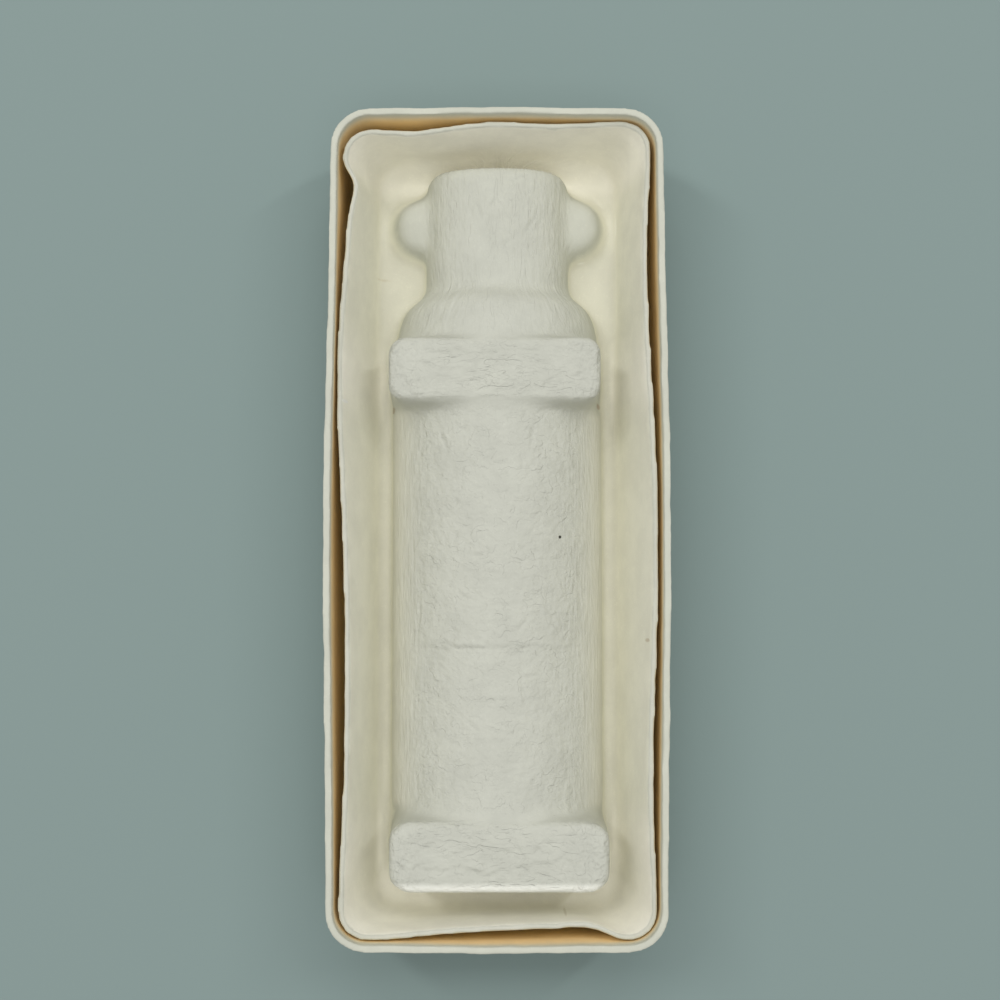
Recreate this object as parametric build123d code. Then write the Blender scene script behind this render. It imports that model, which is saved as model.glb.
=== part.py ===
from build123d import *
import os
from math import radians, tan

# Outer tray, a straight-sided pulp tub with its mouth up
tray_height = 32.0
tray_sheet = 1.5
tray_draft_angle = 2.0
tray_corner_radius = 8.8
tray_side_bow = 1.1
tray_end_bow = 0.4
tray_floor_round = 3.0

# Rim of the insert, which nests in the tray and is dented between its corners
insert_sheet = 1.3
rim_drop = 3.0
nest_gap = 0.3
rim_corner_radius = 6.7
rim_dent = 2.7

# Flat web of the insert, round the foot of the bottle form, and the lean of the walls that rise from it
side_gap = 3.2
foot_gap = 6.7
neck_gap = 5.0
web_corner_radius = 6.0
web_round = 2.5
side_lean = 6.3
end_lean = 2.5

# Bottle form, half a bottle whose axis lies in the top of the web
body_radius = 25.0
body_length = 94.9
shoulder_step = 0.2
shoulder_length = 15.7
neck_radius = 17.1
neck_length = 25.4
neck_end_round = 0.6

# Square collar and square foot of the bottle, proud of the body at the web and risen above its crest
block_proud = 0.135
block_rise = 1.0
block_draft_angle = 2.5
block_corner_round = 2.0
block_edge_round = 0.7
block_cove = 2.0
collar_length = 13.6
foot_length = 15.5

# Finger lobes beside the neck
lobe_radius = 6.6
lobe_reach = 24.95
lobe_height = 8.0
lobe_setback = 11.2
lobe_draft_angle = 16.0
lobe_edge_round = 0.6

# Bare label panel, a little proud of the body
label_width = 34.0
label_length = 22.7
label_raise = 0.4
label_setback = 16.0

# One overrun for every cut
cut_overrun = 2.0

# How far each corner of the rim stands in from its nest, across and along, as shares of the rim dent
corner_shares = {
    "near_right": (0.05, 0.0),
    "far_right": (0.22, 0.0),
    "far_left": (0.15, 0.67),
    "near_left": (0.18, 0.0),
}

# Dents of the rim, as places along each side and shares of the rim dent, counter-clockwise
right_dent_shares = ((0.1, 0.26), (0.25, 0.19), (0.4, -0.18), (0.63, 0.0), (0.9, 0.5))
far_dent_shares = ((0.28, 0.22), (0.5, 0.04), (0.65, 0.3), (0.87, 0.85))
left_dent_shares = ((0.014, 0.42), (0.032, 1.04), (0.06, 0.86), (0.13, 0.39), (0.2, 0.02), (0.3, -0.23),
                    (0.46, 0.17), (0.69, 0.63), (0.9, 0.39))
near_dent_shares = ((0.2, 0.3), (0.43, 0.7), (0.74, 1.0), (0.9, 0.75))
bow_shares = ((0.5, -1.0),)
straight_shares = ()
no_corner_shares = {corner: (0.0, 0.0) for corner in corner_shares}

# Swell of the shoulder, as shares of its growth in radius and of its length, and its slope at the collar
swell_radius_share = 0.5
swell_length_share = 0.31
shoulder_slope_share = 0.3

# Heights and places that follow from the sizes above
rim_height = tray_height - rim_drop
web_bottom = tray_sheet
web_top = web_bottom + insert_sheet
shoulder_radius = body_radius - shoulder_step
block_height = body_radius + block_rise
block_width = 2 * (body_radius + block_proud - block_height * tan(radians(block_draft_angle)))
bottle_length = foot_length + body_length + collar_length + shoulder_length + neck_length
web_width = 2 * (body_radius + side_gap)
web_length = foot_gap + bottle_length + neck_gap
rim_half_width = web_width / 2 + insert_sheet + side_lean
rim_half_length = web_length / 2 + insert_sheet + end_lean
foot_near = foot_gap - web_length / 2
foot_far = foot_near + foot_length
collar_near = foot_far + body_length
collar_far = collar_near + collar_length
neck_near = collar_far + shoulder_length
neck_far = neck_near + neck_length


def outline(height, half_width, half_length, radius, steps, step_size, waves, depths):
    """Flat face of four corner arcs, joined by sides that wave in and out between them."""
    centres = []
    for corner, (across, along) in (("near_right", (1, -1)), ("far_right", (1, 1)),
                                    ("far_left", (-1, 1)), ("near_left", (-1, -1))):
        step_across, step_along = steps[corner]
        centre_x = across * (half_width - radius - step_across * step_size)
        centre_y = along * (half_length - radius - step_along * step_size)
        centres.append(Vector(centre_x, centre_y, height))
    outward = (Vector(1, 0, 0), Vector(0, 1, 0), Vector(-1, 0, 0), Vector(0, -1, 0))
    travel = (Vector(0, 1, 0), Vector(-1, 0, 0), Vector(0, -1, 0), Vector(1, 0, 0))
    reach = (half_width, half_length, half_width, half_length)
    edges = []
    for side in range(4):
        start = centres[side] + outward[side] * radius
        end_centre = centres[(side + 1) % 4]
        end = end_centre + outward[side] * radius
        points = [start]
        for place, share in waves[side]:
            on_line = start + (end - start) * place
            stand = reach[side] - share * depths[side]
            points.append(on_line + outward[side] * (stand - on_line.dot(outward[side])))
        points.append(end)
        places = [0, *[place for place, share in waves[side]], 1]
        heading = travel[side] * (end - start).dot(travel[side])
        edges.append(Edge.make_spline(points, tangents=(heading, heading), parameters=places, scale=False))
        turn_end = end_centre + outward[(side + 1) % 4] * radius
        diagonal = (outward[side] + outward[(side + 1) % 4]).normalized()
        edges.append(ThreePointArc(end, end_centre + diagonal * radius, turn_end))
    return Face(Wire(edges))


def tray_outline(height, inset):
    """Bowed outline of the tray at a height, set in from its outer face."""
    stand = nest_gap + tray_sheet - inset + (height - rim_height) * tan(radians(tray_draft_angle))
    half_width = rim_half_width + stand
    half_length = rim_half_length + stand
    waves = (bow_shares, bow_shares, bow_shares, bow_shares)
    depths = (tray_side_bow, tray_end_bow, tray_side_bow, tray_end_bow)
    return outline(height, half_width, half_length, tray_corner_radius - inset,
                   no_corner_shares, 0, waves, depths)


def rim_outline(inset):
    """Dented outline of the insert's rim, nested in the tray at its corners."""
    half_width = rim_half_width - inset
    half_length = rim_half_length - inset
    waves = (right_dent_shares, far_dent_shares, left_dent_shares, near_dent_shares)
    depths = (rim_dent,) * 4
    return outline(rim_height, half_width, half_length, rim_corner_radius - inset,
                   corner_shares, rim_dent, waves, depths)


def web_outline(height, inset):
    """Plain outline of the web, set in from the insert's outer face."""
    half_width = web_width / 2 + insert_sheet - inset
    half_length = web_length / 2 + insert_sheet - inset
    radius = web_corner_radius + insert_sheet - inset
    return outline(height, half_width, half_length, radius, no_corner_shares, 0,
                   (straight_shares,) * 4, (0,) * 4)


def lowest_edges(solid):
    """The edges round the underside of a solid."""
    return solid.faces().sort_by(Axis.Z)[0].edges()


def highest_edges(solid):
    """The edges round the top of a solid."""
    return solid.faces().sort_by(Axis.Z)[-1].edges()


def outer_tray():
    """The tub: a drafted shell with a flat floor and a rounded foot."""
    outside = loft([tray_outline(0, 0), tray_outline(tray_height, 0)], ruled=True)
    inside = loft([tray_outline(tray_sheet, tray_sheet), tray_outline(tray_height, tray_sheet)], ruled=True)
    outside = fillet(lowest_edges(outside), tray_floor_round + tray_sheet)
    inside = fillet(lowest_edges(inside), tray_floor_round)
    return outside - inside


def turned_bottle(inset):
    """Body, shoulder and neck as one turned shape, with its profile set in by a wall."""
    body = body_radius - inset
    shoulder = shoulder_radius - inset
    neck = neck_radius - inset
    low = foot_near + foot_length / 2
    collar = collar_near + collar_length / 2
    end = neck_far - inset
    swell = (neck + (shoulder - neck) * swell_radius_share, neck_near - shoulder_length * swell_length_share)
    slopes = ((-shoulder_slope_share, 1), (0, 1))
    flare = Spline((shoulder, collar_far), swell, (neck, neck_near), tangents=slopes)
    barrel = Polyline((0, end), (0, low), (body, low), (body, collar), (shoulder, collar),
                      (shoulder, collar_far))
    throat = Polyline((neck, neck_near), (neck, end), (0, end))
    profile = Pos(0, 0, web_top) * make_face(barrel.edges() + flare.edges() + throat.edges())
    turned = revolve(profile, Axis((0, 0, web_top), (0, 1, 0)))
    end_edge = turned.faces().sort_by(Axis.Y)[-1].edges()
    return fillet(end_edge, neck_end_round + insert_sheet - inset)


def pad(flat, top, base, draft_angle):
    """A flat shape drawn at its top and run down to a base, wider as it goes."""
    return extrude(Pos(0, 0, top) * flat, amount=top - base, dir=(0, 0, -1), taper=-draft_angle)


def block(middle, length, base, inset):
    """One square block of the bottle, with its top edges rounded."""
    radius = block_corner_round + insert_sheet - inset
    flat = RectangleRounded(block_width - 2 * inset, length - 2 * inset, radius)
    solid = pad(Pos(0, middle) * flat, web_top + block_height - inset, base, block_draft_angle)
    return fillet(highest_edges(solid), block_edge_round + insert_sheet - inset)


def lobe(side, base, inset):
    """One finger lobe beside the neck."""
    centre = Pos(side * (lobe_reach - lobe_radius), neck_far - lobe_setback)
    solid = pad(centre * Circle(lobe_radius - inset), web_top + lobe_height - inset, base, lobe_draft_angle)
    return fillet(highest_edges(solid), lobe_edge_round + insert_sheet - inset)


def label_panel(inset):
    """The raised panel on the crown of the body."""
    near = foot_far + label_setback
    middle = near + label_length / 2
    radius = body_radius + label_raise - inset
    barrel = Pos(0, middle, web_top) * Rot(90, 0, 0) * Cylinder(radius, label_length - 2 * inset)
    window = Pos(0, middle, web_top + radius) * Box(label_width - 2 * inset, label_length, 2 * radius)
    return barrel & window


def coved(bottle, middle, length, base, inset):
    """The bottle with one block added, and a cove where the body runs into it."""
    added = block(middle, length, base, inset)
    joined = bottle + added
    body_middle = (foot_far + collar_near) / 2
    corners = new_edges(bottle, added, combined=joined).filter_by(lambda edge: edge.center().Z > web_top)
    inner = corners.filter_by(lambda edge: abs(edge.center().Y - body_middle) < abs(middle - body_middle))
    return fillet(inner, block_cove + inset)


def bottle_form(base, inset):
    """The raised half bottle, run down to a base and set in by a wall."""
    bottle = turned_bottle(inset)
    bottle = bottle + label_panel(inset)
    bottle = split(bottle, Plane.XY.offset(base), keep=Keep.TOP)
    bottle = coved(bottle, (collar_near + collar_far) / 2, collar_length, base, inset)
    bottle = coved(bottle, (foot_near + foot_far) / 2, foot_length, base, inset)
    for side in (-1, 1):
        bottle = bottle + lobe(side, base, inset)
    return bottle


def bottle_insert():
    """The insert: a dented pan with the bottle form pressed up through its web."""
    outside = loft([web_outline(web_bottom, 0), rim_outline(0)], ruled=True)
    inside = loft([web_outline(web_top, insert_sheet), rim_outline(insert_sheet)], ruled=True)
    outside = fillet(lowest_edges(outside), web_round + insert_sheet)
    inside = fillet(lowest_edges(inside), web_round)
    pan = outside - inside
    return pan + bottle_form(web_bottom, 0) - bottle_form(web_bottom - cut_overrun, insert_sheet)


os.makedirs("parts", exist_ok=True)
export_step(outer_tray(), "parts/outer_tray.step")
export_step(bottle_insert(), "parts/bottle_insert.step")
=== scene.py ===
"""Dresses a pressed pulp tray and the bottle insert that lies in it, in a plain studio seen from above."""

import math

import bpy
import numpy as np
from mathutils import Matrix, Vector


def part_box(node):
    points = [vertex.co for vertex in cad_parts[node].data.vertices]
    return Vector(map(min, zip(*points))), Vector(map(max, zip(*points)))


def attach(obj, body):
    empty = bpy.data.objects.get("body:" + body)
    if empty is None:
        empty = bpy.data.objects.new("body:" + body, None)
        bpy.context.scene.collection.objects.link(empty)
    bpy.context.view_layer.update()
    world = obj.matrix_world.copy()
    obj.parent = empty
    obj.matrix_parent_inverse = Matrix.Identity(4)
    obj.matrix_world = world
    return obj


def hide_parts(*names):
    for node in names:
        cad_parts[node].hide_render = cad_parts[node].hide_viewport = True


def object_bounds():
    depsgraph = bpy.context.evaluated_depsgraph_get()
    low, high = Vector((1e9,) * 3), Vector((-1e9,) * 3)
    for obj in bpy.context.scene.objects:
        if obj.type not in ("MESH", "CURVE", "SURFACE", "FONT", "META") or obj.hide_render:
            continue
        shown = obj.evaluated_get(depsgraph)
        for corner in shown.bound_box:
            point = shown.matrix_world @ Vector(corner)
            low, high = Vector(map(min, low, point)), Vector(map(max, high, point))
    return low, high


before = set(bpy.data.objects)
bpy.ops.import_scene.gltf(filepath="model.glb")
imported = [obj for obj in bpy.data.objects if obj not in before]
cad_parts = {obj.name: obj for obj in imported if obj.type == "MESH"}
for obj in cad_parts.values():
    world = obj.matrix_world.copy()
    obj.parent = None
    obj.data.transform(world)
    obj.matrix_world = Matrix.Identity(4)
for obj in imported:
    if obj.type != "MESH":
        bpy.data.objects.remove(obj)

bl_info = {
    "name": "Pulp bottle insert",
    "version": (1, 0, 0),
    "blender": (4, 5, 0),
    "location": "3D View > Sidebar > Pulp insert",
    "description": "Dresses a pressed pulp tray and its bottle insert",
    "category": "Object",
}

# The script works in metres, and small sizes are written in millimetres
MM = 0.001
CAD_LOW, CAD_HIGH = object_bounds()
MERGE_DISTANCE = 0.002 * MM

# The photograph's camera, which also places what is picked from the photograph by its pixels
IMAGE_SIDE = 1000
SENSOR_WIDTH = 36.0
CAMERA_LENS = 61.2
CAMERA_TILT = math.radians(4)
CAMERA_PLACE = (0.665 * MM, -21.26 * MM, 409.78 * MM)

# Places of the bottle form in the insert, along the bottle and up
WEB_TOP = 2.8 * MM
FOOT_NEAR = -81.7 * MM
FOOT_FAR = FOOT_NEAR + 15.5 * MM
COLLAR_NEAR = FOOT_FAR + 94.9 * MM
COLLAR_FAR = COLLAR_NEAR + 13.6 * MM
NECK_NEAR = COLLAR_FAR + 15.7 * MM
NECK_FAR = NECK_NEAR + 25.4 * MM
SWELL = COLLAR_FAR + 0.69 * (NECK_NEAR - COLLAR_FAR)
BODY_RADIUS = 25.0 * MM
SHOULDER_RADIUS = 24.8 * MM
NECK_RADIUS = 17.1 * MM
SWELL_RADIUS = (SHOULDER_RADIUS + NECK_RADIUS) / 2
BLOCK_HEIGHT = 26.0 * MM
FORM_HALF_WIDTH = 26.4 * MM
LOBE_ACROSS = 18.35 * MM
LOBE_ALONG = NECK_FAR - 11.2 * MM
LOBE_RADIUS = 6.6 * MM
LABEL_HALF_WIDTH = 17.0 * MM
LABEL_NEAR = FOOT_FAR + 16.0 * MM
LABEL_FAR = LABEL_NEAR + 22.7 * MM
LABEL_RAISE = 0.4 * MM
LABEL_SINK = 0.4 * MM
BLOCK_HALF_WIDTH = 24.0 * MM
BLOCK_CORNER = 2.0 * MM
INSERT_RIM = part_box("bottle_insert")[1].z
TRAY_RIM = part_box("outer_tray")[1].z

# How the form in the photograph differs from the CAD's, which is square and even
NECK_SQUARENESS = 2.6
NECK_DRAW = 0.7 * MM
COLLAR_SHIFT = -0.55 * MM
COLLAR_NEAR_DRAW = 1.0 * MM
COLLAR_FAR_DRAW = 0.4 * MM
COLLAR_CORNER = 2.8 * MM
FOOT_DRAW = 0.3 * MM
FOOT_RIGHT_DRAW = 1.0 * MM
FOOT_CORNER = 3.8 * MM
LOBE_SHRINK = 0.1
LOBE_SHIFTS = ((-1, 0.65 * MM), (1, 0.2 * MM))
FOLD_LIFT = 4.0 * MM

# Ranges over which a zone of the insert fades in: across, along, up, and leaning away from the crest
RIM_ACROSS = (31 * MM, 32 * MM)
RIM_ALONG = (86 * MM, 87 * MM)
BACK_ACROSS = (28.4 * MM, 29 * MM)
BACK_ALONG = (88.6 * MM, 89.2 * MM)
NOOK_ACROSS = (26.4 * MM, 28 * MM)
NOOK_ALONG = (78 * MM, 84 * MM)
BLOCK_END_ACROSS = (13 * MM, 20 * MM)
WEB_RISE = (0.6 * MM, 3 * MM)
FORM_RISE = (1.5 * MM, 5.0 * MM)
BLOCK_TOP_RISE = (BLOCK_HEIGHT - 3.5 * MM, BLOCK_HEIGHT - 1.2 * MM)
FOOT_EDGE_RISE = (BLOCK_HEIGHT - 4 * MM, BLOCK_HEIGHT - 2 * MM)
RIM_HEIGHTS = (INSERT_RIM - 5 * MM, INSERT_RIM - MM)
RIM_TOP_HEIGHTS = (INSERT_RIM - 0.9 * MM, INSERT_RIM - 0.4 * MM)
CROWN_LEAN = (math.radians(38), math.radians(60))
FLANK_LEAN = (math.radians(25), math.radians(48))
SIDE_LEAN = (math.radians(40), math.radians(75))

# How far the folds soften, as shares of full softening, and how far the rims sway
SHEET_SOFTNESS = 0.11
BLOCK_SOFTNESS = 0.02
LOBE_SOFTNESS = 0.55
LEAST_SOFTNESS = 0.015
NECK_END_FIRMNESS = 0.85
RIM_SWAY = 0.5 * MM
RIM_WAVE_SIZE = (6.0, 6.0, 6.0)

# Relief of the insert: mask, pattern, coordinates, size of a feature in mm, depth in mm, seed
INSERT_RELIEFS = (
    ("block_tops", "flakes", "place", (7.0, 2.6, 3.0), 0.16, 1.0),
    ("block_ends", "flakes", "place", (2.6, 3.0, 3.0), 0.11, 2.0),
    ("crown", "flakes", "skin", (4.2, 3.6, 1.0), 0.08, 3.0),
    ("flanks", "streaks", "skin", (1.3, 9.0, 1.0), 0.04, 5.0),
    ("neck", "streaks", "skin", (1.6, 9.0, 1.0), 0.04, 6.0),
    ("neck", "flakes", "skin", (2.6, 9.0, 1.0), 0.09, 7.0),
    ("sheet", "streaks", "place", (8.0, 8.0, 8.0), 0.05, 8.0),
)

# Relief of the tray, in the same order
TRAY_RELIEFS = (
    ("sheet", "streaks", "place", (8.0, 8.0, 8.0), 0.05, 21.0),
)

# Finer creases that only the material shows, in the same order
FINE_CREASES = (
    ("block_tops", "streaks", "place", (3.2, 1.8, 3.0), 0.2, 41.0),
    ("block_tops", "flakes", "place", (5.0, 1.8, 3.0), 0.12, 31.0),
    ("block_tops", "flakes", "place", (2.4, 1.3, 2.0), 0.06, 32.0),
    ("block_ends", "streaks", "place", (1.8, 2.0, 2.0), 0.3, 42.0),
    ("block_ends", "flakes", "place", (1.7, 1.9, 2.0), 0.08, 33.0),
    ("crown", "streaks", "skin", (2.3, 1.9, 1.0), 0.16, 43.0),
    ("crown", "flakes", "skin", (3.2, 2.6, 1.0), 0.08, 34.0),
    ("crown", "flakes", "skin", (1.7, 1.5, 1.0), 0.04, 35.0),
    ("flanks", "streaks", "skin", (0.8, 5.0, 1.0), 0.065, 36.0),
    ("flanks", "streaks", "skin", (1.6, 3.2, 1.0), 0.09, 44.0),
    ("neck", "streaks", "skin", (0.8, 5.0, 1.0), 0.04, 37.0),
    ("neck", "streaks", "skin", (1.9, 2.8, 1.0), 0.09, 45.0),
    ("neck", "flakes", "skin", (1.7, 5.0, 1.0), 0.06, 38.0),
)

# Painted shade: darkness of the lines along the edges of those flakes
LINE_SHARE = 0.3

# Creases listed: depth in mm, and the pixels of the photograph that each one runs through
CREASE_WIDTH = 0.42 * MM
CREASE_LIPS = 0.4
# Width and growth of the painted shade along each crease
CREASE_SHADE_WIDTH = 0.6 * CREASE_WIDTH
CREASE_SHADE_GROWTH = 5
CREASES = (
    (0.26, ((426, 352), (445, 352), (459, 350), (465, 352), (472, 358))),
    (0.18, ((476, 357), (486, 352), (493, 353), (500, 349), (503, 348))),
    (0.18, ((519, 348), (532, 350), (544, 348))),
    (0.16, ((553, 351), (562, 351), (566, 348))),
    (0.22, ((535, 360), (543, 363), (551, 364))),
    (0.22, ((491, 392), (505, 389), (513, 387), (521, 388))),
    (0.2, ((542, 391), (545, 384), (552, 381))),
    (0.18, ((412, 361), (425, 363), (436, 368))),
    (0.14, ((435, 377), (439, 375), (444, 375))),
    (0.18, ((393, 362), (400, 367), (403, 373))),
    (0.16, ((403, 383), (410, 390), (415, 399))),
    (0.14, ((417, 385), (425, 389), (431, 388))),
    (0.16, ((571, 341), (579, 344), (587, 346))),
    (0.16, ((584, 356), (593, 350), (597, 346))),
    (0.16, ((583, 370), (577, 375), (568, 376))),
    (0.28, ((395, 863), (401, 868), (408, 872))),
    (0.18, ((421, 848), (432, 846), (442, 847))),
    (0.18, ((410, 872), (418, 865), (428, 863), (438, 862))),
    (0.14, ((470, 839), (476, 833), (482, 833))),
    (0.2, ((500, 850), (508, 852), (515, 851))),
    (0.2, ((513, 840), (518, 846), (523, 855), (528, 861))),
    (0.2, ((541, 845), (543, 841), (550, 843), (560, 841))),
    (0.16, ((531, 855), (538, 850), (544, 847))),
    (0.28, ((458, 866), (466, 869), (474, 871), (479, 875), (488, 876), (496, 874), (504, 870))),
    (0.2, ((514, 869), (523, 867), (530, 873))),
    (0.16, ((531, 864), (540, 864), (552, 864), (560, 861))),
    (0.14, ((539, 877), (546, 876), (550, 878))),
    (0.16, ((568, 836), (576, 835), (586, 840))),
    (0.18, ((490, 209), (492, 203), (497, 197))),
    (0.18, ((475, 202), (479, 208), (482, 220))),
    (0.2, ((524, 235), (527, 229), (535, 219), (536, 211))),
    (0.16, ((503, 250), (505, 243), (511, 240))),
    (0.14, ((506, 183), (516, 179), (528, 176))),
    (0.16, ((440, 431), (444, 442), (449, 452))),
    (0.14, ((535, 419), (532, 435), (531, 449))),
    (0.16, ((488, 451), (491, 449), (497, 449))),
    (0.12, ((523, 458), (521, 471))),
    (0.12, ((438, 516), (454, 517))),
    (0.14, ((465, 553), (475, 555), (488, 556))),
    (0.12, ((515, 539), (514, 551))),
    (0.14, ((479, 575), (485, 571), (494, 572), (499, 575))),
    (0.14, ((460, 595), (469, 598), (476, 601))),
    (0.14, ((477, 615), (485, 608), (487, 601))),
    (0.12, ((489, 603), (505, 605), (519, 604))),
    (0.14, ((517, 631), (523, 624), (528, 618))),
    (0.14, ((448, 627), (453, 629), (458, 633))),
    (0.2, ((430, 645), (445, 643), (453, 646), (460, 648), (475, 647), (483, 648), (488, 644), (497, 647))),
    (0.2, ((497, 647), (503, 648), (510, 645), (517, 644), (523, 647), (532, 645), (548, 645))),
    (0.14, ((522, 677), (532, 676), (543, 674))),
    (0.14, ((522, 670), (522, 687), (527, 700), (522, 709))),
    (0.16, ((473, 702), (487, 701), (498, 699), (513, 701))),
    (0.14, ((465, 720), (473, 727), (480, 733))),
    (0.14, ((488, 728), (497, 733), (503, 732))),
    (0.12, ((428, 667), (433, 664))),
    (0.12, ((531, 785), (538, 777))),
    (0.12, ((503, 763), (515, 763), (527, 762))),
)

# Marks listed: pixel, height in mm, half sizes across and along in mm, colour and strength
INSERT_MARKS = (
    ((560, 537), 23.3, (0.42, 0.42), (36, 34, 30), 1.0),
    ((478, 138), 26.0, (3.4, 0.9), (186, 160, 112), 0.45),
    ((512, 137), 26.0, (2.6, 0.8), (190, 166, 120), 0.4),
    ((565, 913), 14.0, (0.4, 2.4), (186, 172, 138), 0.3),
    ((583, 893), 8.0, (1.3, 0.5), (120, 100, 62), 0.6),
    ((345, 401), 27.0, (0.7, 0.5), (240, 240, 232), 0.8),
    # The next two marks are painted shade in the low corners beside the collar
    ((394, 411), 8.0, (0.6, 0.9), (150, 122, 88), 0.5),
    ((598, 407), 8.0, (0.7, 0.8), (160, 126, 96), 0.5),
    ((647, 640), 24.0, (0.5, 0.6), (170, 146, 108), 0.45),
    ((384, 277), 8.0, (2.2, 0.5), (196, 182, 146), 0.35),
)
MARK_HALF_DEPTH = 8 * MM

# Masks that the insert's material reads
INSERT_SHOWN = (
    "block_tops", "block_ends", "crown", "flanks", "neck", "form", "skin", "rim_band", "backs", "foot_edge_highlight",
    "web", "nooks", "sides", "creases",
)

# Finish of the pulp: shades and roughness over the mottling, fibres, creases and grain; the darkening in the
# creases is painted shade
MOTTLE_RANGE = (0.3, 0.7)
MOTTLE_SHADES = (0.96, 1.03)
MOTTLE_ROUGHNESS = (0.85, 0.97)
FIBRE_SHADE = 1.05
CREASE_SHADE = 0.91
GRAIN_DEPTH = 0.03
MATT_SPECULAR = 0.2
FLOOR_ROUGHNESS = 0.9
FLOOR_DROP = 0.2 * MM

# Softboxes aimed at the middle of the object: name, place, two sides in metres, power in watts
LAMPS = (
    ("strip_left", (-0.66, 0.45, 1.25), (0.15, 0.6), 3.8),
    ("strip_right", (0.66, 0.45, 1.25), (0.06, 0.6), 2.8),
    ("bank_over", (0, 0.1, 1.6), (1.0, 1.0), 3.4),
    ("bank_far", (0, 0.75, 1.3), (0.8, 0.3), 3.2),
    ("bank_near", (0, -0.5, 1.4), (0.8, 0.3), 2.2),
)


def linear(red, green, blue):
    """A colour given in display values up to 255, as the linear values that Blender keeps."""
    shares = [value / 255 for value in (red, green, blue)]
    return tuple(share / 12.92 if share <= 0.04045 else ((share + 0.055) / 1.055) ** 2.4 for share in shares)


class InsertSettings(bpy.types.PropertyGroup):
    """Sizes and colours of the bottle insert."""

    grain: bpy.props.FloatProperty(
        name="Grain", description="Mesh size of the pressed sheet", default=0.42 * MM, unit="LENGTH")
    softening: bpy.props.IntProperty(
        name="Softening", description="Rounds of smoothing that soften the folds of the sheet", default=110)
    triangles: bpy.props.IntProperty(
        name="Triangles", description="Triangles that the finished piece may have", default=195000)
    form_colour: bpy.props.FloatVectorProperty(
        name="Form", description="Colour of the raised bottle form", subtype="COLOR",
        default=linear(198, 199, 187))
    # Pan: the pulp's own yellowish tint, painted much lighter than the form as painted light on the walls and
    # web, where shade falls
    pan_tint_and_painted_light: bpy.props.FloatVectorProperty(
        name="Pan", description="Colour of the walls and web round the form", subtype="COLOR",
        default=linear(236, 234, 216))
    # Web: the same tint, painted lighter than the form but a little darker than the walls, as painted light
    # in the groove round the form
    web_tint_and_painted_light: bpy.props.FloatVectorProperty(
        name="Web", description="Colour of the flat web round the form", subtype="COLOR",
        default=linear(218, 216, 199))
    # Nooks: painted light on the walls and web beside the blocks and at the ends, lifting the shade that
    # falls there
    nook_painted_light: bpy.props.FloatVectorProperty(
        name="Nooks", description="Colour of the walls and web in the nooks round the blocks",
        subtype="COLOR", default=linear(250, 247, 232))
    # Form sides: painted lighter than the form's top, as painted light on its steep sides, which lie in shade
    side_painted_light: bpy.props.FloatVectorProperty(
        name="Form sides", description="Colour of the steep sides of the bottle form", subtype="COLOR",
        default=linear(219, 218, 205))
    rim_colour: bpy.props.FloatVectorProperty(
        name="Rim", description="Colour of the rim's cut edge", subtype="COLOR",
        default=linear(204, 204, 190))
    # Foot edge: a painted highlight along the near edge of the foot block
    foot_highlight_colour: bpy.props.FloatVectorProperty(
        name="Foot edge", description="Colour of the highlit edge of the foot block", subtype="COLOR",
        default=linear(240, 240, 229))
    # Back: the pulp's own yellowish tint, painted as a light warm glow on the outer face towards the tray,
    # standing in for light bounced in the gap
    back_tint_and_painted_glow: bpy.props.FloatVectorProperty(
        name="Back", description="Colour of the glowing outer face", subtype="COLOR",
        default=linear(253, 230, 170))


class TraySettings(bpy.types.PropertyGroup):
    """Sizes and colours of the outer tray."""

    grain: bpy.props.FloatProperty(
        name="Grain", description="Mesh size of the pressed sheet", default=0.42 * MM, unit="LENGTH")
    softening: bpy.props.IntProperty(
        name="Softening", description="Rounds of smoothing that soften the edges of the sheet", default=3)
    triangles: bpy.props.IntProperty(
        name="Triangles", description="Triangles that the finished piece may have", default=90000)
    colour: bpy.props.FloatVectorProperty(
        name="Sheet", description="Colour of the tray's pulp", subtype="COLOR",
        default=linear(204, 205, 190))
    # Depths: the pulp's own yellowish tint, painted as a light warm glow on the tray's inner face, standing
    # in for light bounced in the gap
    depth_tint_and_painted_glow: bpy.props.FloatVectorProperty(
        name="Depths", description="Colour of the bounce-lit pulp deep in the tray", subtype="COLOR",
        default=linear(251, 232, 188))


class StageSettings(bpy.types.PropertyGroup):
    """Floor, light and camera."""

    floor_colour: bpy.props.FloatVectorProperty(
        name="Floor", description="Colour of the plain floor", subtype="COLOR",
        default=linear(136, 153, 150))
    floor_size: bpy.props.FloatProperty(
        name="Floor size", description="Side of the floor", default=6.0, unit="LENGTH")
    sky_level: bpy.props.FloatProperty(
        name="Sky", description="Strength of the even light from all round", default=0.44)
    camera_place: bpy.props.FloatVectorProperty(
        name="Camera place", description="Where the camera stands", subtype="XYZ", unit="LENGTH",
        default=CAMERA_PLACE)
    camera_tilt: bpy.props.FloatProperty(
        name="Camera tilt", description="Lean of the view towards the neck", subtype="ANGLE",
        default=CAMERA_TILT)
    camera_lens: bpy.props.FloatProperty(
        name="Camera lens", description="Focal length in millimetres on a 36 mm sensor", default=CAMERA_LENS)


# Small helpers for meshes and masks

def smooth_step(values, start, end):
    """0 before start, 1 after end, and a soft rise between them."""
    share = np.clip((values - start) / (end - start), 0.0, 1.0)
    return share * share * (3.0 - 2.0 * share)


def band(values, low, high, fade):
    """1 between low and high, fading out past both."""
    return smooth_step(values, low - fade, low + fade) * (1.0 - smooth_step(values, high - fade, high + fade))


def by_blocks(along, fade):
    """1 along the collar and along the foot, fading out past both ends of each."""
    collar = band(along, COLLAR_NEAR, COLLAR_FAR, fade)
    return np.maximum(collar, band(along, FOOT_NEAR, FOOT_FAR, fade))


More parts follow.
